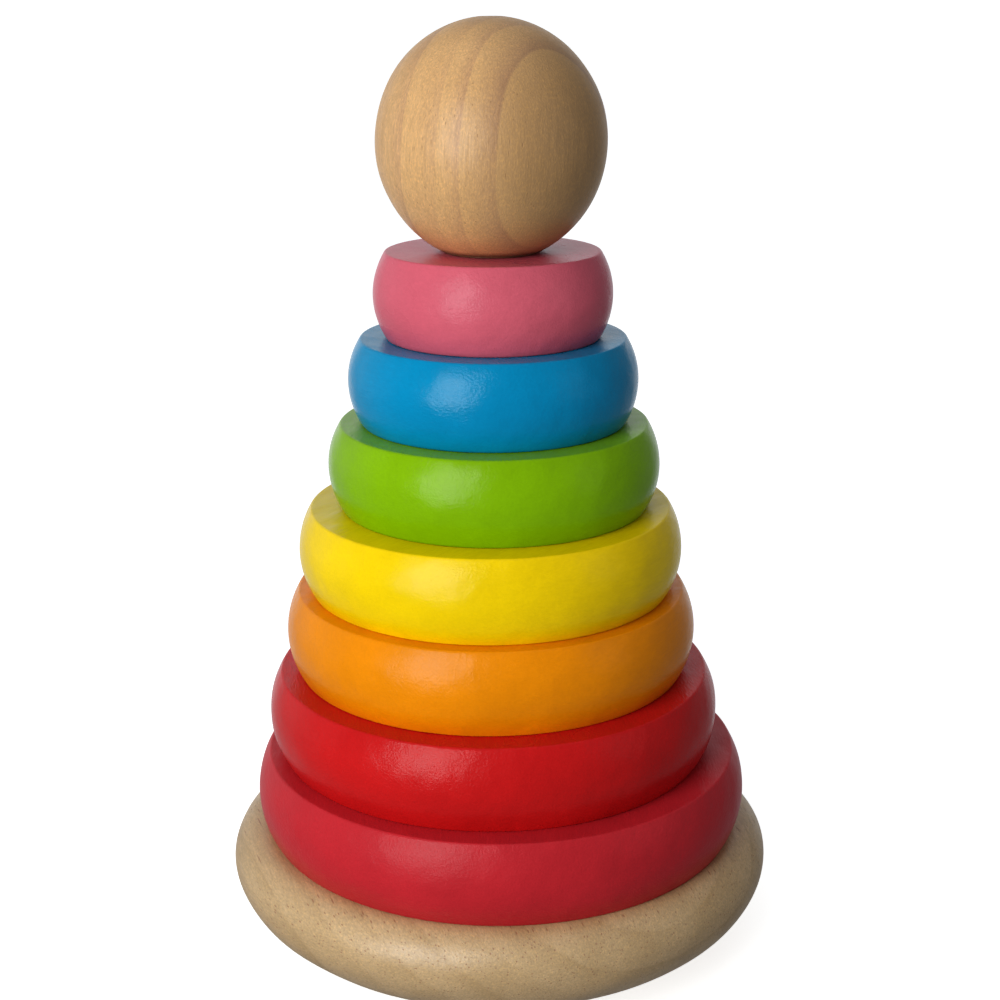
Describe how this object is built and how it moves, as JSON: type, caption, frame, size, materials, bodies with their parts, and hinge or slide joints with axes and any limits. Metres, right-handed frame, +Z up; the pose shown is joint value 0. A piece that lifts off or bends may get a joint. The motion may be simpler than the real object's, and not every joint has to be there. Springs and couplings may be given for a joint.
{
  "type": "stacking ring toy",
  "caption": "Wooden stacking toy: graded lacquered rings and a plain wooden ball that lift off a peg on a round bowl-bottomed base.",
  "frame": {"origin": "centre of the base's flat underside, where the toy stands", "axes": "+Z up along the peg; -Y is the front"},
  "size_m": [0.126, 0.126, 0.2109],
  "materials": {
    "base_wood": "pale rubberwood, fine-sanded, thin matt clear coat",
    "peg_wood": "pale hardwood dowel, sanded, matt clear coat",
    "ball_wood": "golden hardwood, polished, satin clear coat",
    "screw_steel": "zinc-plated steel",
    "crimson_ring_lacquer": "wood under satin-gloss crimson lacquer with a fine orange peel",
    "red_ring_lacquer": "wood under satin-gloss red lacquer with a fine orange peel",
    "orange_ring_lacquer": "wood under satin-gloss orange lacquer with a fine orange peel",
    "yellow_ring_lacquer": "wood under satin-gloss yellow lacquer with a fine orange peel",
    "green_ring_lacquer": "wood under satin-gloss green lacquer with a fine orange peel",
    "blue_ring_lacquer": "wood under satin-gloss blue lacquer with a fine orange peel",
    "pink_ring_lacquer": "wood under satin-gloss pink lacquer with a fine orange peel"
  },
  "bodies": {
    "stand": {"base": "base_wood", "peg": "peg_wood", "peg_screw": "screw_steel"},
    "crimson_ring": {"crimson_ring": "crimson_ring_lacquer"},
    "red_ring": {"red_ring": "red_ring_lacquer"},
    "orange_ring": {"orange_ring": "orange_ring_lacquer"},
    "yellow_ring": {"yellow_ring": "yellow_ring_lacquer"},
    "green_ring": {"green_ring": "green_ring_lacquer"},
    "blue_ring": {"blue_ring": "blue_ring_lacquer"},
    "pink_ring": {"pink_ring": "pink_ring_lacquer"},
    "ball": {"ball": "ball_wood"}
  },
  "joints": [
    {"name": "crimson_ring_lift", "type": "slide", "parent": "stand", "child": "crimson_ring", "axis": [0, 0, 1], "range_m": [0, 0.162]},
    {"name": "red_ring_lift", "type": "slide", "parent": "crimson_ring", "child": "red_ring", "axis": [0, 0, 1], "range_m": [0, 0.143]},
    {"name": "orange_ring_lift", "type": "slide", "parent": "red_ring", "child": "orange_ring", "axis": [0, 0, 1], "range_m": [0, 0.124]},
    {"name": "yellow_ring_lift", "type": "slide", "parent": "orange_ring", "child": "yellow_ring", "axis": [0, 0, 1], "range_m": [0, 0.105]},
    {"name": "green_ring_lift", "type": "slide", "parent": "yellow_ring", "child": "green_ring", "axis": [0, 0, 1], "range_m": [0, 0.086]},
    {"name": "blue_ring_lift", "type": "slide", "parent": "green_ring", "child": "blue_ring", "axis": [0, 0, 1], "range_m": [0, 0.067]},
    {"name": "pink_ring_lift", "type": "slide", "parent": "blue_ring", "child": "pink_ring", "axis": [0, 0, 1], "range_m": [0, 0.048]},
    {"name": "ball_lift", "type": "slide", "parent": "pink_ring", "child": "ball", "axis": [0, 0, 1], "range_m": [0, 0.029]}
  ]
}
